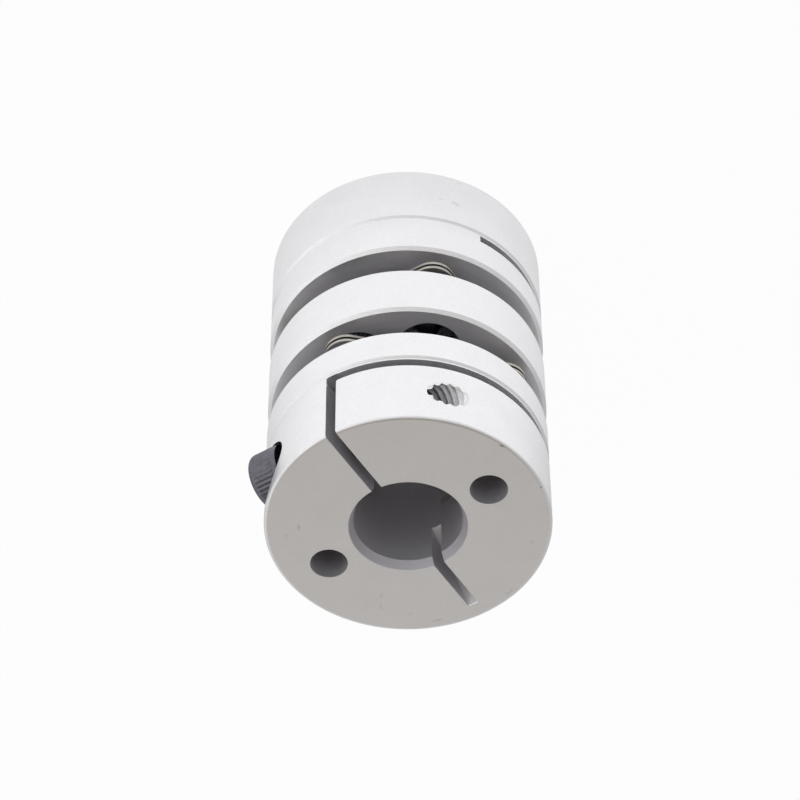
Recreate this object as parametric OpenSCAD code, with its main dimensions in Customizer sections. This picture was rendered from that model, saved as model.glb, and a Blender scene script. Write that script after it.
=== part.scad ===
// Double disc shaft coupling: two clamp hubs, a middle spacer and two flexible disc packs.
// It stands on the lower hub's shaft end, with +Z along the shaft axis.

/* [Hubs] */
// Outside diameter of the hubs and the spacer
outer_d = 34; // [33.5:0.5:40]
// Length of the clamping jaw, from the shaft end to the cross slit
jaw_len = 9.6; // [9:0.1:16]
// Width of the sawn slit across the hub behind the jaw
cross_slit_w = 1.1; // [0.8:0.1:1.5]
// Width of the lengthwise clamping slit
clamp_slit_w = 1.35; // [0.8:0.05:2]
// Diameter of the slitting saw, which gives the slits their round ends
saw_d = 80; // [63:1:125]
// How far the lengthwise slit runs below the cross slit
saw_overrun = 0.3; // [0.1:0.05:0.4]
// Wall left outside the relief slit, opposite the clamping slit
relief_wall = 2.15; // [1.5:0.05:4]
// Angle at which the cross slit stops, seen from the shaft end
cross_slit_end = 250; // [235:1:260]
// Metal left under a head pocket, above the cross slit
pocket_floor = 0.65; // [0.5:0.05:3]
// Radius of the rounded rim at the shaft end
end_round = 0.4; // [0.2:0.1:0.9]
// Chamfer on the rims that face a disc pack
edge_chamfer = 0.4; // [0.2:0.1:0.7]
// Width of the turned groove round the cross slit
groove_w = 2; // [1.8:0.1:3]
// Depth of the turned groove, whose flanks slope at 45 degrees
groove_depth = 0.26; // [0.2:0.01:0.4]

/* [Shaft bore] */
// Diameter of the shaft bore
bore_d = 13; // [8:0.5:13.5]
// Width of the lead-in at the mouth of the bore
lead_in_w = 0.55; // [0.2:0.05:0.6]
// Length of the lead-in along the axis
lead_in_len = 1.2; // [0.3:0.1:2]

/* [Spacer] */
// Length of the middle spacer
spacer_len = 7.7; // [6.5:0.1:14]
// Diameter of the hole through the spacer
spacer_bore_d = 13; // [8:0.5:13.5]
// Wall between neighbouring head openings, which places the bolt circle
opening_wall = 0.47; // [0.3:0.01:0.7]

/* [Screws] */
// Thread diameter of all the socket head screws
screw_d = 4; // [3:0.1:4]
// Diameter of a screw head
head_d = 7; // [5.5:0.1:7.1]
// Height of a screw head
head_h = 4; // [3:0.1:4.4]
// Rounding drawn as a chamfer on the rim of a head
head_chamfer = 0.6; // [0.2:0.1:0.8]
// Width across the flats of the key socket
key_w = 3; // [2:0.5:3]
// Depth of the key socket
key_depth = 2; // [1.5:0.1:2.4]
// Length of thread that a disc screw has in the aluminium
thread_grip = 4.35; // [3:0.05:4.6]
// Diameter of the key access holes in the shaft ends
key_hole_d = 4.5; // [3.7:0.1:5.5]
// Length of a clamp screw under its head
clamp_screw_len = 12; // [11:0.5:16]
// How far the clamp screws are backed out, as delivered
clamp_backoff = 2.8; // [0:0.1:3]
// Distance of the clamp screw's seat from the middle of the slit
clamp_seat = 6.6; // [5:0.1:7]
// How far the clamp screw's axis lies inside the middle of the hub's wall
clamp_inset = 0.53; // [0:0.01:0.8]

/* [Disc packs] */
// Thickness of one spring disc
disc_t = 0.4; // [0.2:0.05:0.6]
// Thickness of the ring between the two discs of a pack
shim_t = 0.4; // [0.2:0.05:0.6]
// Distance from a screw's centre to the disc's edge
disc_margin = 4.5; // [3.8:0.1:4.8]
// Radius of a disc's corners
disc_corner_r = 2.7; // [1.5:0.1:4]
// Diameter of the hole in the middle of a disc
disc_bore_d = 14; // [10:0.5:14.5]
// Height of the collars that hold a pack clear of the metal
collar_t = 1.45; // [1.2:0.05:3]
// Thickness of the washers under the disc screws' heads
washer_t = 1; // [0.5:0.1:1.1]
// Outside diameter of the collars, washers and shims
ring_d = 7; // [6:0.1:7]

/* [Hidden] */

aluminium = "#e8e8ea";
black_steel = "#4b4a4e";
spring_steel = "#c8c4bc";
plain_steel = "#a9a9ad";

round_fn = 96;
small_fn = 48;
// Play of a screw in a tapped hole, on the radius
thread_play = 0.05;
// Play of a screw in a ring or a disc, on the radius
hole_play = 0.05;
// Play of a screw in its clearance hole, on the radius
clearance_play = 0.2;
// Play round a clamp screw's head in its counterbore
counterbore_play = 0.25;
// Room round a disc screw's head, so that the packs can flex
head_room = 0.5;
// Room beyond the end of a disc screw's head
head_gap = 0.8;
// Room beyond the end of a screw in a blind tapped hole
tap_run = 0.1;
// How far the cross slit runs past the lengthwise slit
cross_overrun = 0.1;
// Chamfer on the tip of a screw
tip_chamfer = 0.3;
// How far a cut runs past the face that it opens
through = 1;
screws_per_disc = 4;

outer_r = outer_d / 2;
bore_r = bore_d / 2;
ring_r = ring_d / 2;
shank_r = screw_d / 2 - thread_play;
pocket_r = head_d / 2 + head_room;
pack_twist = 360 / (2 * screws_per_disc);
bolt_r = (pocket_r + opening_wall / 2) / sin(pack_twist / 2);

pack_t = 2 * disc_t + shim_t;
gap = pack_t + 2 * collar_t;
pocket_depth = head_h + washer_t - collar_t + head_gap;
hub_len = jaw_len + cross_slit_w + pocket_floor + pocket_depth;
total_len = 2 * hub_len + 2 * gap + spacer_len;
bolt_len = washer_t + pack_t + collar_t + thread_grip;

disc_side = 2 * (bolt_r * sin(45) + disc_margin);

counterbore_r = head_d / 2 + counterbore_play;
clamp_offset = (outer_r + bore_r) / 2 - clamp_inset;
clamp_height = jaw_len / 2;

saw_r = saw_d / 2;
clamp_slit_depth = jaw_len + cross_slit_w + saw_overrun;
relief_end = outer_r - relief_wall;
clamp_saw_y = sqrt(2 * saw_r * clamp_slit_depth - pow(clamp_slit_depth, 2)) - relief_end;

cross_slit_start = 90 - asin((clamp_slit_w / 2 + cross_overrun) / outer_r);
cross_slit_middle = (cross_slit_start + cross_slit_end) / 2;
cross_slit_half = (cross_slit_end - cross_slit_start) / 2;
cross_saw_x = outer_r * cos(cross_slit_half) + sqrt(pow(saw_r, 2) - pow(outer_r * sin(cross_slit_half), 2));

groove_z = jaw_len + cross_slit_w / 2;
groove_floor_w = groove_w - 2 * groove_depth;

// Stations of one hub's disc pack, from the hub's shaft end
disc_z = hub_len + collar_t;
shim_z = disc_z + disc_t;
second_disc_z = shim_z + shim_t;
pack_end_z = second_disc_z + disc_t;
spacer_z = hub_len + gap;

// Moves a piece from a hub's own frame, with its shaft end at z = 0, to the lower half
module in_lower_half() {
    rotate([0, 0, 90 + pack_twist]) children();
}

// Moves a piece from a hub's own frame to the upper half, with its shaft end up
module in_upper_half() {
    translate([0, 0, total_len]) rotate([0, 180, 0]) children();
}

// Puts a piece on the bolt circle at an angle
module on_bolt_circle(angle) {
    rotate([0, 0, angle]) translate([bolt_r, 0, 0]) children();
}

// Flat ring round a screw
module ring(thickness) {
    difference() {
        cylinder(h = thickness, r = ring_r, $fn = small_fn);
        translate([0, 0, -through])
            cylinder(h = thickness + 2 * through, r = screw_d / 2 + hole_play, $fn = small_fn);
    }
}

// Socket head screw, with the underside of its head at z = 0 and its tip up
module socket_screw(length) {
    color(black_steel) difference() {
        rotate_extrude($fn = small_fn) polygon([
            [0, -head_h],
            [head_d / 2 - head_chamfer, -head_h],
            [head_d / 2, -head_h + head_chamfer],
            [head_d / 2, 0],
            [shank_r, 0],
            [shank_r, length - tip_chamfer],
            [shank_r - tip_chamfer, length],
            [0, length]
        ]);
        translate([0, 0, -head_h - through])
            cylinder(h = key_depth + through, d = key_w / cos(30), $fn = 6);
    }
}

// Turned blank of a hub: rims, groove and bore with its lead-in
module hub_blank() {
    rotate_extrude($fn = round_fn) polygon(concat(
        [[bore_r + lead_in_w, 0]],
        [for (turn = [0:15:90])
            [outer_r - end_round * (1 - sin(turn)), end_round * (1 - cos(turn))]],
        [
            [outer_r, groove_z - groove_w / 2],
            [outer_r - groove_depth, groove_z - groove_floor_w / 2],
            [outer_r - groove_depth, groove_z + groove_floor_w / 2],
            [outer_r, groove_z + groove_w / 2],
            [outer_r, hub_len - edge_chamfer],
            [outer_r - edge_chamfer, hub_len],
            [bore_r, hub_len],
            [bore_r, lead_in_len]
        ]
    ));
}

// Lengthwise saw cut: the clamping slit at +Y and the relief slit at -Y
module clamp_slit() {
    translate([-clamp_slit_w / 2, clamp_saw_y, clamp_slit_depth - saw_r])
        rotate([0, 90, 0]) cylinder(h = clamp_slit_w, r = saw_r, $fn = round_fn);
}

// Saw cut behind the jaw, from the jaw's side
module cross_slit() {
    rotate([0, 0, cross_slit_middle]) translate([cross_saw_x, 0, jaw_len])
        cylinder(h = cross_slit_w, r = saw_r, $fn = round_fn);
}

// Counterbore, clearance hole and tapped hole of the clamp screw
module clamp_screw_holes() {
    translate([0, clamp_offset, clamp_height]) rotate([0, 90, 0]) {
        translate([0, 0, clamp_seat])
            cylinder(h = outer_r, r = counterbore_r, $fn = small_fn);
        cylinder(h = clamp_seat + through, r = screw_d / 2 + clearance_play, $fn = small_fn);
        translate([0, 0, -outer_r])
            cylinder(h = outer_r, r = screw_d / 2, $fn = small_fn);
    }
}

// Clamp hub, with its shaft end at z = 0, its slit at +Y and its jaw at -X
module hub() {
    color(aluminium) difference() {
        hub_blank();
        clamp_slit();
        cross_slit();
        clamp_screw_holes();
        for (angle = [90, 270]) on_bolt_circle(angle)
            translate([0, 0, hub_len - thread_grip - tap_run])
                cylinder(h = thread_grip + tap_run + through, r = screw_d / 2, $fn = small_fn);
        for (angle = [0, 180]) on_bolt_circle(angle) {
            translate([0, 0, hub_len - pocket_depth])
                cylinder(h = pocket_depth + through, r = pocket_r, $fn = small_fn);
            translate([0, 0, -through])
                cylinder(h = hub_len, r = key_hole_d / 2, $fn = small_fn);
        }
    }
}

// Clamp screw, backed out of its counterbore
module clamp_screw() {
    translate([clamp_seat + clamp_backoff, clamp_offset, clamp_height])
        rotate([0, -90, 0]) socket_screw(clamp_screw_len);
}

// Holes in the spacer for one pack: head openings, and tapped holes from the pack's side
module spacer_holes() {
    for (angle = [90, 270]) on_bolt_circle(angle)
        translate([0, 0, spacer_z - through])
            cylinder(h = spacer_len + 2 * through, r = pocket_r, $fn = small_fn);
    for (angle = [0, 180]) on_bolt_circle(angle)
        translate([0, 0, spacer_z - through])
            cylinder(h = thread_grip + tap_run + through, r = screw_d / 2, $fn = small_fn);
}

module spacer() {
    color(aluminium) difference() {
        translate([0, 0, spacer_z]) rotate_extrude($fn = round_fn) polygon([
            [spacer_bore_d / 2, 0],
            [outer_r - edge_chamfer, 0],
            [outer_r, edge_chamfer],
            [outer_r, spacer_len - edge_chamfer],
            [outer_r - edge_chamfer, spacer_len],
            [spacer_bore_d / 2, spacer_len]
        ]);
        in_lower_half() spacer_holes();
        in_upper_half() spacer_holes();
    }
}

// Square spring disc with rounded corners, its corners at the four screws
module spring_disc(z) {
    corner = disc_side / 2 - disc_corner_r;
    color(spring_steel) translate([0, 0, z]) rotate([0, 0, 45]) difference() {
        union() {
            translate([-disc_side / 2, -corner, 0]) cube([disc_side, 2 * corner, disc_t]);
            translate([-corner, -disc_side / 2, 0]) cube([2 * corner, disc_side, disc_t]);
            for (x = [-corner, corner], y = [-corner, corner])
                translate([x, y, 0]) cylinder(h = disc_t, r = disc_corner_r, $fn = small_fn);
        }
        translate([0, 0, -through])
            cylinder(h = disc_t + 2 * through, d = disc_bore_d, $fn = round_fn);
        for (angle = [45:90:315]) on_bolt_circle(angle) translate([0, 0, -through])
            cylinder(h = disc_t + 2 * through, r = screw_d / 2 + hole_play, $fn = small_fn);
    }
}

// Rings that keep the two discs of a pack apart at the screws
module disc_shims() {
    color(spring_steel) for (angle = [0:90:270])
        on_bolt_circle(angle) translate([0, 0, shim_z]) ring(shim_t);
}

// Disc screw into the hub, with its head in an opening of the spacer
module hub_bolt(angle) {
    on_bolt_circle(angle) translate([0, 0, pack_end_z + washer_t])
        rotate([180, 0, 0]) socket_screw(bolt_len);
}

module hub_washer(angle) {
    color(plain_steel) on_bolt_circle(angle) translate([0, 0, pack_end_z]) ring(washer_t);
}

module hub_collar(angle) {
    color(plain_steel) on_bolt_circle(angle) translate([0, 0, hub_len]) ring(collar_t);
}

// Disc screw into the spacer, with its head in a pocket of the hub
module spacer_bolt(angle) {
    on_bolt_circle(angle) translate([0, 0, disc_z - washer_t]) socket_screw(bolt_len);
}

module spacer_washer(angle) {
    color(plain_steel) on_bolt_circle(angle) translate([0, 0, disc_z - washer_t]) ring(washer_t);
}

module spacer_collar(angle) {
    color(plain_steel) on_bolt_circle(angle) translate([0, 0, pack_end_z]) ring(collar_t);
}

in_lower_half() hub();  // lower_hub
in_lower_half() clamp_screw();  // lower_clamp_screw
in_lower_half() hub_bolt(90);  // lower_hub_bolt_1
in_lower_half() hub_washer(90);  // lower_hub_washer_1
in_lower_half() hub_collar(90);  // lower_hub_collar_1
in_lower_half() hub_bolt(270);  // lower_hub_bolt_2
in_lower_half() hub_washer(270);  // lower_hub_washer_2
in_lower_half() hub_collar(270);  // lower_hub_collar_2
in_lower_half() spring_disc(disc_z);  // lower_disc_outer
in_lower_half() disc_shims();  // lower_disc_shims
in_lower_half() spring_disc(second_disc_z);  // lower_disc_inner
spacer();
in_lower_half() spacer_bolt(0);  // lower_spacer_bolt_1
in_lower_half() spacer_washer(0);  // lower_spacer_washer_1
in_lower_half() spacer_collar(0);  // lower_spacer_collar_1
in_lower_half() spacer_bolt(180);  // lower_spacer_bolt_2
in_lower_half() spacer_washer(180);  // lower_spacer_washer_2
in_lower_half() spacer_collar(180);  // lower_spacer_collar_2
in_upper_half() spacer_bolt(0);  // upper_spacer_bolt_1
in_upper_half() spacer_washer(0);  // upper_spacer_washer_1
in_upper_half() spacer_collar(0);  // upper_spacer_collar_1
in_upper_half() spacer_bolt(180);  // upper_spacer_bolt_2
in_upper_half() spacer_washer(180);  // upper_spacer_washer_2
in_upper_half() spacer_collar(180);  // upper_spacer_collar_2
in_upper_half() spring_disc(disc_z);  // upper_disc_outer
in_upper_half() disc_shims();  // upper_disc_shims
in_upper_half() spring_disc(second_disc_z);  // upper_disc_inner
in_upper_half() hub();  // upper_hub
in_upper_half() clamp_screw();  // upper_clamp_screw
in_upper_half() hub_bolt(90);  // upper_hub_bolt_1
in_upper_half() hub_washer(90);  // upper_hub_washer_1
in_upper_half() hub_collar(90);  // upper_hub_collar_1
in_upper_half() hub_bolt(270);  // upper_hub_bolt_2
in_upper_half() hub_washer(270);  // upper_hub_washer_2
in_upper_half() hub_collar(270);  // upper_hub_collar_2
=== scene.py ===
"""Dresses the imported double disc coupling: screws, threads, finishes and the studio round it."""

import math

import bpy
import numpy as np
from bpy.props import FloatProperty, FloatVectorProperty, IntProperty, PointerProperty
from mathutils import Matrix, Vector


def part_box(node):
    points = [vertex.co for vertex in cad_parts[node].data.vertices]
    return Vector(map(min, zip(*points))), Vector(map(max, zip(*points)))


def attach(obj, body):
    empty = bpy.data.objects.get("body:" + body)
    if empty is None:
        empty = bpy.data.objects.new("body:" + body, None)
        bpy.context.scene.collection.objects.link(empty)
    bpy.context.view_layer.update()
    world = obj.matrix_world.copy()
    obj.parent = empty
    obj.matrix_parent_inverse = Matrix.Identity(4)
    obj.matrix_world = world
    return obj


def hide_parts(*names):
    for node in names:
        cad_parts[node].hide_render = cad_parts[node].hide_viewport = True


bl_info = {
    "name": "Double Disc Coupling",
    "version": (1, 0, 0),
    "blender": (4, 5, 0),
    "location": "View3D > Sidebar > Coupling",
    "description": "Screws, threads, metal finishes and a studio for a double disc shaft coupling",
    "category": "Add Mesh",
}

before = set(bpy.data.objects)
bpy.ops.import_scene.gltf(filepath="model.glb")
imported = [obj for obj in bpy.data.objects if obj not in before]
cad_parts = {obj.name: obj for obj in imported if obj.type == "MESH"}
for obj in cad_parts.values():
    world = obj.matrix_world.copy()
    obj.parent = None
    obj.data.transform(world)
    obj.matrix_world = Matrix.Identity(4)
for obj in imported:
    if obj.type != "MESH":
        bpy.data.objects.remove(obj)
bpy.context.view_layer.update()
MM = 0.001

HALVES = ("lower", "upper")
# What a disc screw goes into.
SIDES = ("hub", "spacer")
# The way each clamp screw points, from its head to its tip.
CLAMP_DIRECTION = {"upper": (1.0, 0.0, 0.0), "lower": (math.sqrt(0.5), -math.sqrt(0.5), 0.0)}
# Points round a screw for each ridge of its knurl, and rows for each turn of its thread.
CLAMP_SCREW_GRID = (6, 8)
DISC_SCREW_GRID = (4, 6)
# Points round a tapped hole, and rows for each turn of its thread.
TAPPED_HOLE_GRID = (96, 12)
# Edges that fold by more than this stay sharp.
SHARP_ANGLE = math.radians(35)

# Handling marks on the hubs' round skin, as the photograph shows them: compass angle in
# degrees, height in mm, slant in degrees, half length and half width in mm, strength.
SKIN_MARKS = (
    (37, 5.4, -25, 0.75, 0.22, 0.30),
    (43.5, 5.2, -30, 0.40, 0.16, 0.18),
    (46.5, 6.9, 0, 0.20, 0.16, 0.14),
    (35, 0.9, 10, 0.70, 0.20, 0.14),
    (100.5, 1.6, 0, 0.22, 0.18, 0.16),
    (115.5, 1.2, 0, 0.20, 0.16, 0.14),
    (118, 33.5, 0, 0.20, 0.18, 0.26),
    (57, 39.6, 0, 0.16, 0.14, 0.14),
)
# Marks on the upper end face: place in mm, turn in degrees, half length and half width in
# mm, strength. The last two are nicks beside the rim.
FACE_MARKS = (
    (-10.9, 6.8, 63, 0.65, 0.30, 0.24),
    (-12.9, 6.4, 30, 0.45, 0.28, 0.12),
    (-8.6, -7.7, 50, 0.75, 0.32, 0.11),
    (-9.6, -9.3, 70, 0.75, 0.36, 0.11),
    (-7.4, -12.3, 10, 0.60, 0.32, 0.11),
    (-5.1, -14.8, -10, 0.95, 0.32, 0.15),
    (4.7, -15.4, 20, 0.85, 0.42, 0.13),
    (11.1, -9.8, 40, 0.60, 0.34, 0.11),
    (15.8, 5.0, -65, 0.60, 0.18, 0.60),
    (16.4, -2.9, -80, 0.30, 0.18, 0.50),
)
# Half the depth of a mark in mm, and the share of its size that has the full strength.
MARK_REACH = 0.3
MARK_CORE = 0.3

# Painted shadow on the floor as reflections show it, in rings: inner and outer radius in metres,
# and the brightness inside. Outside a ring it is 1, and overlapping rings multiply.
FLOOR_SHADOW_RINGS = ((0.009, 0.018, 0.48), (0.018, 0.034, 0.88))
# Painted shade: in reflections the same floor grows brighter from behind the object to its
# front, between these two distances from the middle, in metres.
FLOOR_SHADE_FRONT = (-0.06, 0.04)
# Heights of the tent's tones, as the sine of the angle above the horizon.
TENT_WALL_FROM = 0.35
TENT_WALL_TO = 0.61
OVERHEAD_AT = 0.75
# Compass angle between the camera and the brightest side of the tent.
TENT_TURN = math.radians(60)
SENSOR_W_MM = 36


# Colour and nodes


def linear(hex_colour):
    """An sRGB hex value such as "c8c8cc" as a linear colour."""
    srgb = np.array([int(hex_colour[i : i + 2], 16) for i in (0, 2, 4)]) / 255
    values = np.where(srgb <= 0.04045, srgb / 12.92, ((srgb + 0.055) / 1.055) ** 2.4)
    return tuple(float(value) for value in values)


def add(tree, kind, inputs=None, **settings):
    """Adds one node. An input is a value, or another node's output to link."""
    node = tree.nodes.new(kind)
    for name, value in settings.items():
        setattr(node, name, value)
    for name, value in (inputs or {}).items():
        if isinstance(value, bpy.types.NodeSocket):
            tree.links.new(value, node.inputs[name])
        else:
            node.inputs[name].default_value = value
    return node


def new_material(name):
    """A material with an empty node tree, that tree, and its Object coordinates."""
    material = bpy.data.materials.new(name)
    material.use_nodes = True
    tree = material.node_tree
    tree.nodes.clear()
    return material, tree, add(tree, "ShaderNodeTexCoord").outputs["Object"]


def per_mm(size_mm):
    """Texture scale whose features are about size_mm wide, for coordinates in metres."""
    return 1 / (size_mm * MM)


# Sizes and colours


class CouplingScrewSizes(bpy.types.PropertyGroup):
    """Sizes of the ten socket head screws"""

    thread_pitch: FloatProperty(
        name="Thread pitch",
        description="Pitch of the M4 thread",
        default=0.7 * MM,
        min=0.3 * MM,
        unit="LENGTH",
    )
    thread_r: FloatProperty(
        name="Thread radius",
        description="Crest radius of the screws' thread",
        default=1.95 * MM,
        unit="LENGTH",
    )
    thread_depth: FloatProperty(
        name="Thread depth",
        description="Depth of the screws' thread",
        default=0.38 * MM,
        unit="LENGTH",
    )
    head_r: FloatProperty(
        name="Head radius",
        description="Radius of a screw head",
        default=3.5 * MM,
        unit="LENGTH",
    )
    head_h: FloatProperty(
        name="Head height",
        description="Height of a screw head",
        default=4 * MM,
        unit="LENGTH",
    )
    rim_round: FloatProperty(
        name="Rim rounding",
        description="Radius of the rounded outer edge of a head",
        default=0.9 * MM,
        unit="LENGTH",
    )
    key_w: FloatProperty(
        name="Key width",
        description="Width across the flats of the key socket",
        default=3 * MM,
        unit="LENGTH",
    )
    key_depth: FloatProperty(
        name="Key depth",
        description="Depth of the key socket",
        default=2 * MM,
        unit="LENGTH",
    )
    knurl_count: IntProperty(
        name="Knurl ridges",
        description="Number of ridges round a head",
        default=40,
        min=12,
    )
    knurl_depth: FloatProperty(
        name="Knurl depth",
        description="Depth of the straight knurl",
        default=0.09 * MM,
        unit="LENGTH",
    )
    plain_band: FloatProperty(
        name="Plain band",
        description="Width of the plain band under the knurl",
        default=0.5 * MM,
        unit="LENGTH",
    )
    groove_w: FloatProperty(
        name="Groove width",
        description="Width of the groove between the knurl and the plain band",
        default=0.22 * MM,
        unit="LENGTH",
    )


class CouplingThreadSizes(bpy.types.PropertyGroup):
    """Sizes of the thread in the hubs' tapped holes"""

    core_r: FloatProperty(
        name="Core radius",
        description="Crest radius of the tapped thread",
        default=1.65 * MM,
        unit="LENGTH",
    )
    root_r: FloatProperty(
        name="Root radius",
        description="Root radius of the tapped thread",
        default=1.94 * MM,
        unit="LENGTH",
    )
    sleeve_r: FloatProperty(
        name="Sleeve radius",
        description="Outer radius of the threaded wall, just inside the metal",
        default=2.01 * MM,
        unit="LENGTH",
    )
    tip_gap: FloatProperty(
        name="Gap past the tip",
        description="Where the drawn thread starts past the clamp screw's tip",
        default=0.1 * MM,
        unit="LENGTH",
    )
    start_turn: FloatProperty(
        name="Start turn",
        description="Share of a turn by which the tapped thread starts late",
        default=0.42,
        subtype="FACTOR",
    )
    mouth_inset: FloatProperty(
        name="Mouth inset",
        description="How far the mouth lies under the hub's skin",
        default=0.01 * MM,
        unit="LENGTH",
    )


class CouplingFinish(bpy.types.PropertyGroup):
    """Colours and roughness of the metals"""

    aluminium: FloatVectorProperty(
        name="Aluminium",
        description="Blasted, clear anodised aluminium",
        subtype="COLOR",
        default=linear("fdfdff"),
    )
    aluminium_shade: FloatVectorProperty(
        name="Aluminium shade",
        description="Darker patches in the anodising",
        subtype="COLOR",
        default=linear("fafafc"),
    )
    aluminium_roughness: FloatProperty(
        name="Aluminium roughness",
        description="Roughness of the blasted surface",
        default=0.42,
        subtype="FACTOR",
    )
    # Painted shade: inside and between the pieces the metal turns to this darker colour, over the
    # bare cut metal's own tone.
    bare_and_shaded_aluminium: FloatVectorProperty(
        name="Cut aluminium",
        description="Bore, slits and holes, cut after blasting",
        subtype="COLOR",
        default=linear("d9d8dc"),
    )
    cut_roughness: FloatProperty(
        name="Cut roughness",
        description="Roughness of the bore, slits and holes",
        default=0.62,
        subtype="FACTOR",
    )
    # Painted shade: the tapped hole's wall turns to this dark tone deeper in.
    shaded_tapped_aluminium: FloatVectorProperty(
        name="Tapped aluminium",
        description="Flanks of the tapped thread, away from its mouth",
        subtype="COLOR",
        default=linear("8f8d94"),
    )
    dirt: FloatVectorProperty(
        name="Dirt",
        description="Grey dirt in scuffs and nicks",
        subtype="COLOR",
        default=linear("55545c"),
    )
    black_steel: FloatVectorProperty(
        name="Black steel",
        description="Black oxide on steel",
        subtype="COLOR",
        default=linear("787780"),
    )
    spring_steel: FloatVectorProperty(
        name="Spring steel",
        description="Rolled stainless spring steel",
        subtype="COLOR",
        default=linear("c4c0b9"),
    )
    plain_steel: FloatVectorProperty(
        name="Plain steel",
        description="Turned steel of the washers and collars",
        subtype="COLOR",
        default=linear("9d9ca0"),
    )


class CouplingStage(bpy.types.PropertyGroup):
    """Floor, light tent, softbox and camera"""

    floor_colour: FloatVectorProperty(
        name="Floor colour",
        description="Pale paper sweep",
        subtype="COLOR",
        default=linear("fafafa"),
    )
    floor_r: FloatProperty(
        name="Floor radius",
        description="Radius of the floor",
        default=4.0,
        unit="LENGTH",
    )
    floor_glow: FloatProperty(
        name="Floor glow",
        description="Share of the floor's white that no shadow darkens",
        default=0.96,
        subtype="FACTOR",
    )
    # Painted shade: how dark reflections see the floor behind the object.
    floor_shade_behind: FloatProperty(
        name="Floor behind",
        description="Brightness of the floor behind the object in reflections",
        default=0.56,
        subtype="FACTOR",
    )
    horizon: FloatVectorProperty(
        name="Horizon",
        description="Tent near the floor",
        subtype="COLOR",
        default=linear("b5b5b9"),
    )
    tent_wall: FloatVectorProperty(
        name="Tent wall",
        description="Tent half way up",
        subtype="COLOR",
        default=linear("fdfdff"),
    )
    overhead: FloatVectorProperty(
        name="Overhead",
        description="Tent above its walls, which the upper end face reflects",
        subtype="COLOR",
        default=linear("b6ad9c"),
    )
    zenith: FloatVectorProperty(
        name="Zenith",
        description="Tent straight above",
        subtype="COLOR",
        default=linear("8e8982"),
    )
    tent_slope: FloatProperty(
        name="Tent slope",
        description="How much brighter the tent is on its bright side than in the middle",
        default=0.2,
        subtype="FACTOR",
    )
    key_power: FloatProperty(
        name="Key power",
        description="Power of the large softbox",
        default=0.6,
        unit="POWER",
    )
    key_size: FloatProperty(
        name="Key size",
        description="Side of the large softbox",
        default=1.2,
        unit="LENGTH",
    )
    key_place: FloatVectorProperty(
        name="Key place",
        description="Middle of the large softbox, which faces the object",
        subtype="XYZ",
        default=(-0.50, 0.62, 0.45),
        unit="LENGTH",
    )
    lens: FloatProperty(
        name="Lens",
        description="Focal length on a 36 mm sensor",
        default=153.4 * MM,
        unit="LENGTH",
    )
    camera_aim: FloatVectorProperty(
        name="Camera aim",
        description="Point in the middle of the picture",
        subtype="XYZ",
        default=(5.55 * MM, 10.67 * MM, 38.36 * MM),
        unit="LENGTH",
    )
    camera_distance: FloatProperty(
        name="Camera distance",
        description="From the aim to the lens",
        default=400 * MM,
        unit="LENGTH",
    )
    camera_tilt: FloatProperty(
        name="Camera tilt",
        description="Angle between the optical axis and the shaft axis",
        default=math.radians(40.36),
        unit="ROTATION",
    )
    camera_azimuth: FloatProperty(
        name="Camera azimuth",
        description="Compass angle of the camera, from +X towards +Y",
        default=math.radians(58.36),
        unit="ROTATION",
    )
    camera_roll: FloatProperty(
        name="Camera roll",
        description="Turn of the picture about the optical axis",
        default=math.radians(-0.35),
        unit="ROTATION",
    )


# Surfaces


def surface(name, points, close_rows=False, first_pole=None, last_pole=None):
    """Mesh over a grid of points, rows by columns by xyz. Each row is a closed ring.

    Quad (i, j) joins rows i and i + 1 at columns j and j + 1, counted round. A pole closes
    an end with a fan, and close_rows joins the last row to the first. If the volume summed
    over the faces comes out negative, every face is turned round, so faces point outwards.
    A flat sheet has no volume, and looks up where its rings run clockwise.
    """
    rows, columns, _ = points.shape
    ring = np.arange(columns)
    after = np.roll(ring, -1)
    first_rows = np.arange(rows if close_rows else rows - 1)
    low = (first_rows * columns)[:, None]
    high = ((first_rows + 1) % rows * columns)[:, None]
    quads = np.stack([low + ring, low + after, high + after, high + ring], -1).reshape(-1, 4)
    vertices = [points.reshape(-1, 3)]
    faces = quads.tolist()
    count = rows * columns
    for pole, start, flip in ((first_pole, 0, True), (last_pole, (rows - 1) * columns, False)):
        if pole is not None:
            fan = np.stack([start + ring, start + after, np.full(columns, count)], -1)
            faces += (fan[:, ::-1] if flip else fan).tolist()
            vertices.append(np.array(pole, float).reshape(1, 3))
            count += 1
    vertices = np.concatenate(vertices)
    a, b, c, d = (vertices[quads[:, k]] for k in range(4))
    volume = np.einsum("ij,ij->", a, np.cross(b, c)) + np.einsum("ij,ij->", a, np.cross(c, d))
    if volume < 0:
        faces = [face[::-1] for face in faces]
    mesh = bpy.data.meshes.new(name)
    mesh.from_pydata(vertices, [], faces)
    mesh.shade_smooth()
    mesh.set_sharp_from_angle(angle=SHARP_ANGLE)
    piece = bpy.data.objects.new(name, mesh)
    bpy.context.scene.collection.objects.link(piece)
    return piece


def fade(x, start, end):
    """Smooth step from 0 at start to 1 at end."""
    t = np.clip((x - start) / (end - start), 0, 1)
    return t * t * (3 - 2 * t)


def hexagon(angle, width):
    """Radius of a hexagon of that width across the flats at each angle: width / 2 over the
    cosine of the angle from the nearest flat's middle."""
    return width / 2 / np.cos((angle + math.pi / 6) % (math.pi / 3) - math.pi / 6)


def thread_form(phase):
    """Flank shape of a thread, 0 at the root and 1 at the crest.

    A triangle wave of the phase, stretched and clipped so that root and crest are flat.
    """
    root_flat, flank = 0.14, 0.62
    wave = 1 - np.abs(2 * (phase % 1) - 1)
    return np.clip((wave - root_flat) / flank, 0, 1)


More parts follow.
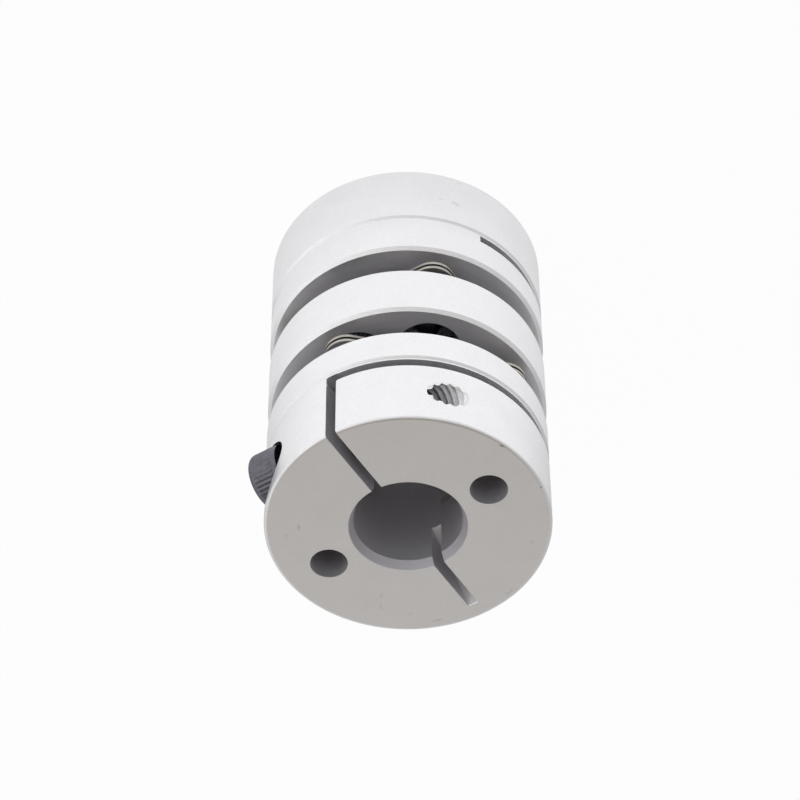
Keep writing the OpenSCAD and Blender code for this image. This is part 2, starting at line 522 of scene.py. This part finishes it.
def axes_of(direction):
    """Two unit vectors that make a right-handed triad with direction as the third."""
    w = np.array(direction, float) / np.linalg.norm(direction)
    u = np.array([0, 0, 1.0]) if abs(w[2]) < 0.5 else np.array([1.0, 0, 0])
    return u, np.cross(w, u), w


def round_axis(middle, u, w, angle, place, radius):
    """Points round the axis w through the middle: middle + place * w + radius * (cosine * u
    + sine * v), where v is at right angles to w and u."""
    spokes = np.cos(angle)[:, None] * u + np.sin(angle)[:, None] * np.cross(w, u)
    return middle + place[..., None] * w + radius[..., None] * spokes


def screw_place(node, direction, head_h):
    """Middle of the underside of a CAD screw's head, and the length of its shank.

    The screw is round about its axis, so the middle of its extent across the axis lies on
    the axis, and its lowest and highest points along the axis are the head's top and the tip.
    """
    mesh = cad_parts[node].data
    points = np.zeros(len(mesh.vertices) * 3)
    mesh.vertices.foreach_get("co", points)
    points = points.reshape(-1, 3)
    u, v, w = axes_of(direction)
    across = [((points @ axis).min() + (points @ axis).max()) / 2 for axis in (u, v)]
    seat = (points @ w).min() + head_h
    return across[0] * u + across[1] * v + seat * w, (points @ w).max() - seat


def socket_screw(name, node, direction, grid):
    """Socket head screw in place of a CAD screw, as one profile carried round its axis.

    Along the profile, from the middle of the key socket to the tip, each row has a place
    along the axis and a radius: hexagon in the socket, flat top, a quarter circle on the
    rim, a side whose radius dips with the cosine of ridges times the angle, a groove, a
    plain band, a fillet and then a shank whose radius follows the thread form at the phase
    place / pitch - angle / turn.
    """
    size = bpy.context.scene.coupling_screws
    seat, length = screw_place(node, direction, size.head_h)
    u, _, w = axes_of(direction)
    columns_per_ridge, rows_per_turn = grid
    columns = size.knurl_count * columns_per_ridge
    angle = np.arange(columns) * (2 * math.pi / columns)

    top = -size.head_h
    socket_floor = top + size.key_depth
    drill_point = 0.35 * MM
    drill_share = 0.55
    key = hexagon(angle, size.key_w)
    mouth_h = 0.25 * MM
    mouth_lip = 0.06 * MM
    mouth_r = size.key_w / 2 / math.cos(math.pi / 6) + mouth_lip

    # The knurl's valleys run out on the rounded rim, between these two turns from its top.
    run_out, run_in = 0.35, 1.2
    rim_r = size.head_r - size.rim_round
    side_start = top + size.rim_round
    rim_turn = np.linspace(0, math.pi / 2, 9)
    knurl = size.knurl_depth * (0.5 - 0.5 * np.cos(size.knurl_count * angle))
    rim_radii = (rim_r + size.rim_round * np.sin(rim_turn))[:, None] - knurl * fade(
        rim_turn, run_out, run_in
    )[:, None]

    knurl_end = -size.plain_band - size.groove_w
    groove_wall = 0.05 * MM
    # The groove is a little deeper than the knurl, and the band a little under its ridges.
    groove_r = size.head_r - 1.1 * size.knurl_depth
    band_r = size.head_r - 0.02 * MM
    underside_break = 0.12 * MM

    neck = 0.18 * MM
    neck_sine = np.sin(np.linspace(0, math.pi / 2, 5))
    tip_break = 0.35 * MM
    tip_inset = 0.3 * MM
    tip_step = 0.02 * MM
    root_r = size.thread_r - size.thread_depth
    step = size.thread_pitch / rows_per_turn
    thread_places = np.arange(neck + step, length - tip_break, step)
    phase = thread_places[:, None] / size.thread_pitch - angle / (2 * math.pi)
    deepening = fade(thread_places, neck, neck + size.thread_pitch)[:, None]
    thread_radii = size.thread_r - size.thread_depth * deepening * (1 - thread_form(phase))

    rows = (
        (socket_floor, drill_share * key),
        (socket_floor, key),
        (top + mouth_h, key),
        (top, np.maximum(mouth_r, key)),
        (top, (mouth_r + rim_r) / 2),
        *zip(side_start - size.rim_round * np.cos(rim_turn), rim_radii),
        ((side_start + knurl_end) / 2, size.head_r - knurl),
        (knurl_end - groove_wall, size.head_r - knurl),
        (knurl_end, groove_r),
        (-size.plain_band - groove_wall, groove_r),
        (-size.plain_band, band_r),
        (-underside_break, band_r),
        (0, size.head_r - underside_break),
        *zip(neck * neck_sine**2, size.thread_r + neck * (1 - neck_sine)),
        *zip(thread_places, thread_radii),
        (length - tip_break, root_r + tip_step),
        (length, root_r - tip_inset),
    )
    place = np.array([[place] for place, _ in rows])
    radius = np.array([np.broadcast_to(radius, angle.shape) for _, radius in rows])
    return surface(
        name,
        round_axis(seat, u, w, angle, place, radius),
        first_pole=seat + (socket_floor + drill_point) * w,
        last_pole=seat + length * w,
    )


def hub_radius(half):
    """Outer radius of that half's hub."""
    low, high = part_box(f"{half}_hub")
    return (high.x - low.x) / 2


def tapped_thread(name, half):
    """Wall of the tapped hole past the clamp screw's tip, cut off by the hub's round skin.

    The inner radius follows the thread form at the phase place / pitch - angle / turn. At
    each angle the wall ends where the skin is: place squared plus the square of the
    distance across, offset + radius * cosine, equals the hub's radius squared.
    """
    size, screw = bpy.context.scene.coupling_thread, bpy.context.scene.coupling_screws
    seat, length = screw_place(f"{half}_clamp_screw", CLAMP_DIRECTION[half], screw.head_h)
    w = np.array(CLAMP_DIRECTION[half])
    out = np.cross((0, 0, 1.0), w)
    if seat @ out < 0:
        out = -out
    offset = seat @ out
    skin_r = hub_radius(half) - size.mouth_inset
    columns, rows_per_turn = TAPPED_HOLE_GRID
    angle = np.arange(columns) * (2 * math.pi / columns)

    def wall_r(place):
        form = thread_form(place / screw.thread_pitch - angle / (2 * math.pi) - size.start_turn)
        return size.root_r - (size.root_r - size.core_r) * form

    def skin(radius):
        return np.sqrt(skin_r**2 - (offset + radius * np.cos(angle)) ** 2)

    # The wall's end and its radius there depend on each other, and settle in a few rounds.
    end = skin(size.root_r)
    for _ in range(4):
        end = skin(wall_r(end))
    start = seat @ w + length + size.tip_gap
    rows = int((end.max() - start) / screw.thread_pitch * rows_per_turn)
    place = start + np.linspace(0, 1, rows)[:, None] * (end - start)
    radius = np.vstack([wall_r(place), np.full((2, columns), size.sleeve_r)])
    place = np.vstack([place, skin(size.sleeve_r), np.full(columns, start)])
    return surface(
        name, round_axis(seat - (seat @ w) * w, out, w, angle, place, radius), close_rows=True
    )


# Finishes


def mottle(tree, coordinates, size_mm, detail, low, high):
    """Soft noise between 0 and 1, with patches about size_mm wide."""
    inputs = {"Vector": coordinates, "Scale": per_mm(size_mm), "Detail": detail, "Roughness": 0.55}
    noise = add(tree, "ShaderNodeTexNoise", inputs).outputs["Fac"]
    spread = add(tree, "ShaderNodeMapRange", {"Value": noise, "From Min": low, "From Max": high})
    return spread.outputs["Result"]


def bare_faces_and_shade(tree, coordinates, near, deep):
    """0 on the round skin and on the shaft ends, 1 inside and on the faces between the pieces,
    which are bare cut metal and carry painted shade. The change runs from the depth near to
    the depth deep under the skin.

    Distance from the shaft axis tells the skin, and height above or below the middle of the
    coupling tells the shaft ends.
    """
    end_near, end_deep = 0.02 * MM, 0.12 * MM
    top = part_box("upper_hub")[1].z
    middle = (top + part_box("lower_hub")[0].z) / 2
    skin_r = hub_radius("upper")
    place = add(tree, "ShaderNodeSeparateXYZ", {"Vector": coordinates}).outputs
    flat = add(tree, "ShaderNodeCombineXYZ", {"X": place["X"], "Y": place["Y"]})
    radius = add(tree, "ShaderNodeVectorMath", {0: flat.outputs["Vector"]}, operation="LENGTH")
    away = add(tree, "ShaderNodeMath", {0: place["Z"], 1: middle}, operation="SUBTRACT")
    height = add(tree, "ShaderNodeMath", {0: away.outputs["Value"]}, operation="ABSOLUTE")
    mask = 1.0
    for measure, start, end in (
        (radius, skin_r - near, skin_r - deep),
        (height, top - middle - end_near, top - middle - end_deep),
    ):
        span = {"Value": measure.outputs["Value"], "From Min": start, "From Max": end}
        step = add(tree, "ShaderNodeMapRange", span).outputs["Result"]
        mask = add(tree, "ShaderNodeMath", {0: mask, 1: step}, operation="MULTIPLY").outputs[0]
    return mask


def wear(tree, coordinates):
    """Strength of the handling marks, each a soft-edged ellipse broken up by noise of about
    its own width."""
    skin_r, top = hub_radius("upper"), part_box("upper_hub")[1].z
    marks = []
    for azimuth, height, slant, length, width, strength in SKIN_MARKS:
        turn = math.radians(azimuth)
        place = (skin_r * math.cos(turn), skin_r * math.sin(turn), height * MM)
        rotation = (math.radians(slant), 0, turn)
        marks.append((place, rotation, (MARK_REACH, length, width), strength))
    for x, y, turn, length, width, strength in FACE_MARKS:
        rotation = (0, 0, math.radians(turn))
        marks.append(((x * MM, y * MM, top), rotation, (length, width, MARK_REACH), strength))
    total = 0.0
    for place, rotation, half_sizes, strength in marks:
        local = add(
            tree,
            "ShaderNodeMapping",
            {
                "Vector": coordinates,
                "Location": place,
                "Rotation": rotation,
                "Scale": tuple(half * MM for half in half_sizes),
            },
            vector_type="TEXTURE",
        )
        away = add(tree, "ShaderNodeVectorMath", {0: local.outputs["Vector"]}, operation="LENGTH")
        mark = add(
            tree,
            "ShaderNodeMapRange",
            {
                "Value": away.outputs["Value"],
                "From Min": 1.0,
                "From Max": MARK_CORE,
                "To Max": strength,
            },
            interpolation_type="SMOOTHSTEP",
        )
        both = {0: total, 1: mark.outputs["Result"]}
        total = add(tree, "ShaderNodeMath", both, operation="ADD").outputs["Value"]
    broken = mottle(tree, coordinates, size_mm=0.35, detail=2, low=0.35, high=0.55)
    worn = add(tree, "ShaderNodeMath", {0: total, 1: broken}, operation="MULTIPLY")
    return worn.outputs["Value"]


def blasted_aluminium(name, bare_and_shade_colour, near, deep):
    """Aluminium, bead blasted and clear anodised: a pale, silky grey that scatters its
    reflections, with faint cloudy patches and a fine even grain. Between the depths near and
    deep under the skin it turns to a darker colour: bare cut metal with painted shade."""
    finish = bpy.context.scene.coupling_finish
    pit_tone = 0.94
    material, tree, coordinates = new_material(name)
    clouds = mottle(tree, coordinates, size_mm=3.5, detail=3, low=0.35, high=0.7)
    cloudy = add(
        tree,
        "ShaderNodeMix",
        {"Factor": clouds, "A": (*finish.aluminium, 1), "B": (*finish.aluminium_shade, 1)},
        data_type="RGBA",
    )
    # Blasting grit leaves pits of about 0.05 mm, drawn at 0.22 mm so that they show.
    grain = mottle(tree, coordinates, size_mm=0.22, detail=2, low=0.3, high=0.7)
    pits = add(tree, "ShaderNodeMapRange", {"Value": grain, "To Min": 1.0, "To Max": pit_tone})
    blasted = add(
        tree,
        "ShaderNodeVectorMath",
        {0: cloudy.outputs["Result"], "Scale": pits.outputs["Result"]},
        operation="SCALE",
    )
    # The bore, the slits, the holes and the faces between the pieces turn darker: partly the
    # bare metal cut after blasting, partly painted shade in the recesses and between the parts.
    bare_and_shade = bare_faces_and_shade(tree, coordinates, near, deep)
    colour = add(
        tree,
        "ShaderNodeMix",
        {"Factor": bare_and_shade, "A": blasted.outputs["Vector"], "B": (*bare_and_shade_colour, 1)},
        data_type="RGBA",
    )
    # Scuffs and nicks hold a little grey dirt.
    worn = add(
        tree,
        "ShaderNodeMix",
        {
            "Factor": wear(tree, coordinates),
            "A": colour.outputs["Result"],
            "B": (*finish.dirt, 1),
        },
        data_type="RGBA",
    )
    # Pits are a little rougher than the grain between them, and tool marks rougher still.
    pitted = add(
        tree,
        "ShaderNodeMapRange",
        {
            "Value": grain,
            "To Min": finish.aluminium_roughness - 0.05,
            "To Max": finish.aluminium_roughness + 0.06,
        },
    )
    tool_marks = add(
        tree,
        "ShaderNodeMapRange",
        {"Value": bare_and_shade, "To Max": finish.cut_roughness - finish.aluminium_roughness},
    )
    rough = add(
        tree,
        "ShaderNodeMath",
        {0: pitted.outputs["Result"], 1: tool_marks.outputs["Result"]},
        operation="ADD",
    )
    bump = add(tree, "ShaderNodeBump", {"Height": grain, "Strength": 0.25, "Distance": 0.02 * MM})
    shader = add(
        tree,
        "ShaderNodeBsdfPrincipled",
        {
            "Base Color": worn.outputs["Result"],
            "Metallic": 1.0,
            "Roughness": rough.outputs["Value"],
            "Normal": bump.outputs["Normal"],
        },
    )
    add(tree, "ShaderNodeOutputMaterial", {"Surface": shader.outputs["BSDF"]})
    return material


def metal(name, colour, roughness, patch_mm, spread, bump_mm):
    """A bare or plated steel whose tone, roughness and height vary in small patches."""
    patch_tone = 0.8
    material, tree, coordinates = new_material(name)
    patches = mottle(tree, coordinates, patch_mm, detail=3, low=0.3, high=0.7)
    shade = [value * patch_tone for value in colour]
    tint = add(
        tree,
        "ShaderNodeMix",
        {"Factor": patches, "A": (*colour, 1), "B": (*shade, 1)},
        data_type="RGBA",
    )
    rough = add(
        tree,
        "ShaderNodeMapRange",
        {"Value": patches, "To Min": roughness - spread, "To Max": roughness + spread},
    )
    height = {"Height": patches, "Strength": 0.15, "Distance": bump_mm * MM}
    bump = add(tree, "ShaderNodeBump", height)
    shader = add(
        tree,
        "ShaderNodeBsdfPrincipled",
        {
            "Base Color": tint.outputs["Result"],
            "Metallic": 1.0,
            "Roughness": rough.outputs["Result"],
            "Normal": bump.outputs["Normal"],
        },
    )
    add(tree, "ShaderNodeOutputMaterial", {"Surface": shader.outputs["BSDF"]})
    return material


def black_oxide_steel():
    """Alloy steel, blackened: dark bluish grey with a soft oily sheen, rubbed in spots about
    half a millimetre wide. All screws share it."""
    name = "black_oxide_steel"
    colour = bpy.context.scene.coupling_finish.black_steel
    return bpy.data.materials.get(name) or metal(
        name, colour, roughness=0.36, patch_mm=0.5, spread=0.07, bump_mm=0.01
    )


def dress(nodes, material):
    """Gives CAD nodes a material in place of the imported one."""
    for node in nodes:
        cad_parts[node].material_slots[0].material = material


def fit_screw(node, direction, grid, body):
    """Puts a knurled screw in place of a CAD screw, on the body that holds it."""
    screw = socket_screw(f"{node}_knurled", node, direction, grid)
    screw.data.materials.append(black_oxide_steel())
    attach(screw, body)
    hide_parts(node)


# Operators


class COUPLING_OT_stage(bpy.types.Operator):
    """Set up the floor, the soft light and the camera"""

    bl_idname = "coupling.stage"
    bl_label = "Stage"

    def execute(self, context):
        scene = context.scene
        stage = scene.coupling_stage
        self.make_floor(stage)
        self.make_tent(scene, stage)
        self.make_key(scene, stage)
        self.make_camera(scene, stage)
        scene.view_settings.view_transform = "Standard"
        return {"FINISHED"}

    def make_floor(self, stage):
        """A disc: rings of growing radius round a middle point, all at height 0. The angle
        runs clockwise, so that the faces look up."""
        columns, rings, inner_r = 96, 8, 0.05
        angle = np.arange(columns) * (-2 * math.pi / columns)
        radius = np.geomspace(inner_r, stage.floor_r, rings)[:, None]
        flat = np.zeros((rings, columns))
        points = np.stack([radius * np.cos(angle), radius * np.sin(angle), flat], -1)
        floor = surface("floor", points, first_pole=(0, 0, 0))
        floor.data.materials.append(self.pale_paper(stage))

    def pale_paper(self, stage):
        """Matt white paper with a faint fibre, drawn 2 mm wide so that it shows. The camera
        sees it white, with the object's shadow. Reflections show it with a painted shadow
        under the object and painted shade behind it."""
        material, tree, coordinates = new_material("pale_paper")
        fibre = mottle(tree, coordinates, size_mm=2, detail=2, low=0.3, high=0.7)
        height = {"Height": fibre, "Strength": 0.05, "Distance": 0.05 * MM}
        bump = add(tree, "ShaderNodeBump", height)
        paper = add(
            tree,
            "ShaderNodeBsdfPrincipled",
            {
                "Base Color": (*stage.floor_colour, 1),
                "Roughness": 0.9,
                "Normal": bump.outputs["Normal"],
            },
        )
        away = add(tree, "ShaderNodeVectorMath", {0: coordinates}, operation="LENGTH")
        azimuth = stage.camera_azimuth
        ahead = add(
            tree,
            "ShaderNodeVectorMath",
            {0: coordinates, 1: (math.cos(azimuth), math.sin(azimuth), 0)},
            operation="DOT_PRODUCT",
        )
        # Painted shadow and shade: the white that reflections see is dimmed under and behind the
        # object.
        painted_floor_shade = 1.0
        for measure, start, end, least in (
            *((away, *ring) for ring in FLOOR_SHADOW_RINGS),
            (ahead, *FLOOR_SHADE_FRONT, stage.floor_shade_behind),
        ):
            tone = add(
                tree,
                "ShaderNodeMapRange",
                {
                    "Value": measure.outputs["Value"],
                    "From Min": start,
                    "From Max": end,
                    "To Min": least,
                    "To Max": 1.0,
                },
                interpolation_type="SMOOTHSTEP",
            )
            both = {0: painted_floor_shade, 1: tone.outputs["Result"]}
            painted_floor_shade = add(tree, "ShaderNodeMath", both, operation="MULTIPLY").outputs["Value"]
        rays = add(tree, "ShaderNodeLightPath").outputs
        strength = add(
            tree,
            "ShaderNodeMath",
            {0: painted_floor_shade, 1: rays["Is Camera Ray"]},
            operation="MAXIMUM",
        )
        white = add(
            tree,
            "ShaderNodeEmission",
            {"Color": (1, 1, 1, 1), "Strength": strength.outputs["Value"]},
        )
        seen = rays["Is Camera Ray"]
        for kind in ("Is Glossy Ray", "Is Transmission Ray"):
            both = {0: seen, 1: rays[kind]}
            seen = add(tree, "ShaderNodeMath", both, operation="MAXIMUM").outputs["Value"]
        share = add(tree, "ShaderNodeMath", {0: seen, 1: stage.floor_glow}, operation="MULTIPLY")
        shader = add(
            tree,
            "ShaderNodeMixShader",
            {0: share.outputs["Value"], 1: paper.outputs["BSDF"], 2: white.outputs["Emission"]},
        )
        add(tree, "ShaderNodeOutputMaterial", {"Surface": shader.outputs["Shader"]})
        return material

    def make_tent(self, scene, stage):
        """A light tent: brightest half way up, grey above that, and brighter towards the
        picture's left and front, where the large softbox stands."""
        world = bpy.data.worlds.new("studio")
        world.use_nodes = True
        tree = world.node_tree
        tree.nodes.clear()
        direction = add(tree, "ShaderNodeTexCoord").outputs["Generated"]
        height = add(tree, "ShaderNodeSeparateXYZ", {"Vector": direction}).outputs["Z"]
        tones = add(tree, "ShaderNodeValToRGB", {"Fac": height})
        ramp = tones.color_ramp
        ramp.interpolation = "EASE"
        ramp.elements[0].color = (*stage.horizon, 1)
        ramp.elements[1].color = (*stage.zenith, 1)
        for start, tone in (
            (TENT_WALL_FROM, stage.tent_wall),
            (TENT_WALL_TO, stage.tent_wall),
            (OVERHEAD_AT, stage.overhead),
        ):
            ramp.elements.new(start).color = (*tone, 1)
        azimuth = stage.camera_azimuth + TENT_TURN
        towards = add(
            tree,
            "ShaderNodeVectorMath",
            {0: direction, 1: (math.cos(azimuth), math.sin(azimuth), 0)},
            operation="DOT_PRODUCT",
        )
        strength = add(
            tree,
            "ShaderNodeMath",
            {0: towards.outputs["Value"], 1: stage.tent_slope, 2: 1 - stage.tent_slope},
            operation="MULTIPLY_ADD",
        )
        light = add(
            tree,
            "ShaderNodeBackground",
            {"Color": tones.outputs["Color"], "Strength": strength.outputs["Value"]},
        )
        add(tree, "ShaderNodeOutputWorld", {"Surface": light.outputs["Background"]})
        scene.world = world

    def make_key(self, scene, stage):
        """One large softbox on the camera's side, so that the shadow falls behind."""
        light = bpy.data.lights.new("key_softbox", "AREA")
        light.shape = "SQUARE"
        light.size = stage.key_size
        light.energy = stage.key_power
        place = Vector(stage.key_place)
        facing = place.to_track_quat("Z", "Y").to_matrix().to_4x4()
        lamp = bpy.data.objects.new("key_softbox", light)
        lamp.matrix_world = Matrix.Translation(place) @ facing
        scene.collection.objects.link(lamp)

    def make_camera(self, scene, stage):
        """The photograph's camera: it looks down on the upper end, with the picture's top
        towards the lower end."""
        camera = bpy.data.cameras.new("camera")
        camera.sensor_width = SENSOR_W_MM
        camera.lens = stage.lens / MM
        camera.clip_start = 0.01
        camera.clip_end = 20
        tilt, azimuth = stage.camera_tilt, stage.camera_azimuth
        across = math.sin(tilt)
        back = Vector((across * math.cos(azimuth), across * math.sin(azimuth), math.cos(tilt)))
        down = Vector((0, 0, -1))
        level_up = (down - down.dot(back) * back).normalized()
        up = Matrix.Rotation(stage.camera_roll, 3, back) @ level_up
        turned = Matrix((up.cross(back), up, back)).transposed().to_4x4()
        place = Vector(stage.camera_aim) + stage.camera_distance * back
        eye = bpy.data.objects.new("camera", camera)
        eye.matrix_world = Matrix.Translation(place) @ turned
        scene.collection.objects.link(eye)
        scene.camera = eye


class COUPLING_OT_hubs(bpy.types.Operator):
    """Finish both clamp hubs and the spacer in blasted aluminium"""

    bl_idname = "coupling.hubs"
    bl_label = "Hubs and Spacer"

    def execute(self, context):
        # Bare cut metal, darkened further as painted shade inside and between the pieces.
        hub_bare_and_shade = context.scene.coupling_finish.bare_and_shaded_aluminium
        aluminium = blasted_aluminium(
            "blasted_anodised_aluminium", hub_bare_and_shade, near=0.5 * MM, deep=2 * MM
        )
        dress(["lower_hub", "upper_hub", "spacer"], aluminium)
        return {"FINISHED"}


class COUPLING_OT_disc_packs(bpy.types.Operator):
    """Finish the spring discs and their shims"""

    bl_idname = "coupling.disc_packs"
    bl_label = "Disc Packs"

    def execute(self, context):
        colour = context.scene.coupling_finish.spring_steel
        # Rolled stainless strip: blanked edges that stay bright, and a satin grain that is
        # drawn 0.6 mm wide so that it shows.
        steel = metal(
            "rolled_spring_steel", colour, roughness=0.36, patch_mm=0.6, spread=0.08, bump_mm=0.005
        )
        for half in HALVES:
            dress([f"{half}_disc_{part}" for part in ("outer", "shims", "inner")], steel)
        return {"FINISHED"}


class COUPLING_OT_rings(bpy.types.Operator):
    """Finish the washers and collars"""

    bl_idname = "coupling.rings"
    bl_label = "Washers and Collars"

    def execute(self, context):
        colour = context.scene.coupling_finish.plain_steel
        # Turned mild steel, lightly oiled: a darker grey, uneven where the oil film is
        # broken, in spots about 0.8 mm wide.
        steel = metal(
            "turned_steel", colour, roughness=0.38, patch_mm=0.8, spread=0.08, bump_mm=0.01
        )
        for half in HALVES:
            for side in SIDES:
                for part in ("washer", "collar"):
                    dress([f"{half}_{side}_{part}_{number}" for number in (1, 2)], steel)
        return {"FINISHED"}


class COUPLING_OT_clamp_screws(bpy.types.Operator):
    """Build the two knurled clamp screws"""

    bl_idname = "coupling.clamp_screws"
    bl_label = "Clamp Screws"

    def execute(self, context):
        for half in HALVES:
            node = f"{half}_clamp_screw"
            fit_screw(node, CLAMP_DIRECTION[half], CLAMP_SCREW_GRID, f"{half}_hub")
        return {"FINISHED"}


class COUPLING_OT_disc_screws(bpy.types.Operator):
    """Build the eight knurled disc screws"""

    bl_idname = "coupling.disc_screws"
    bl_label = "Disc Screws"

    def execute(self, context):
        for half in HALVES:
            for side in SIDES:
                head_is_up = (half, side) in (("lower", "hub"), ("upper", "spacer"))
                direction = (0.0, 0.0, -1.0 if head_is_up else 1.0)
                body = "spacer" if side == "spacer" else f"{half}_hub"
                for number in (1, 2):
                    fit_screw(f"{half}_{side}_bolt_{number}", direction, DISC_SCREW_GRID, body)
        return {"FINISHED"}


class COUPLING_OT_threads(bpy.types.Operator):
    """Cut the thread that shows in each hub's tapped clamp hole"""

    bl_idname = "coupling.threads"
    bl_label = "Tapped Threads"

    def execute(self, context):
        # The tapped flanks turn dark a little way in, as painted shade inside the hole.
        tapped_shade = context.scene.coupling_finish.shaded_tapped_aluminium
        aluminium = blasted_aluminium("shaded_tapped_aluminium", tapped_shade, near=0.5 * MM, deep=3.2 * MM)
        for half in HALVES:
            thread = tapped_thread(f"{half}_hub_tapped_thread", half)
            thread.data.materials.append(aluminium)
            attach(thread, f"{half}_hub")
        return {"FINISHED"}


class COUPLING_PT_panel(bpy.types.Panel):
    """Sizes, colours and operators of the coupling"""

    bl_label = "Double Disc Coupling"
    bl_idname = "COUPLING_PT_panel"
    bl_space_type = "VIEW_3D"
    bl_region_type = "UI"
    bl_category = "Coupling"

    def draw(self, context):
        for group, _ in SETTINGS:
            box = self.layout.box()
            settings = getattr(context.scene, group)
            for name in settings.__annotations__:
                box.prop(settings, name)
        for operator in OPERATORS:
            self.layout.operator(operator.bl_idname)


SETTINGS = (
    ("coupling_screws", CouplingScrewSizes),
    ("coupling_thread", CouplingThreadSizes),
    ("coupling_finish", CouplingFinish),
    ("coupling_stage", CouplingStage),
)
OPERATORS = (
    COUPLING_OT_stage,
    COUPLING_OT_hubs,
    COUPLING_OT_disc_packs,
    COUPLING_OT_rings,
    COUPLING_OT_clamp_screws,
    COUPLING_OT_disc_screws,
    COUPLING_OT_threads,
)
CLASSES = (*(group for _, group in SETTINGS), *OPERATORS, COUPLING_PT_panel)


def register():
    for cls in CLASSES:
        bpy.utils.register_class(cls)
    for name, group in SETTINGS:
        setattr(bpy.types.Scene, name, PointerProperty(type=group))


def unregister():
    for name, _ in SETTINGS:
        delattr(bpy.types.Scene, name)
    for cls in reversed(CLASSES):
        bpy.utils.unregister_class(cls)


def main():
    register()
    bpy.ops.coupling.stage()
    bpy.ops.coupling.hubs()
    bpy.ops.coupling.disc_packs()
    bpy.ops.coupling.rings()
    bpy.ops.coupling.clamp_screws()
    bpy.ops.coupling.disc_screws()
    bpy.ops.coupling.threads()


if __name__ == "__main__":
    main()
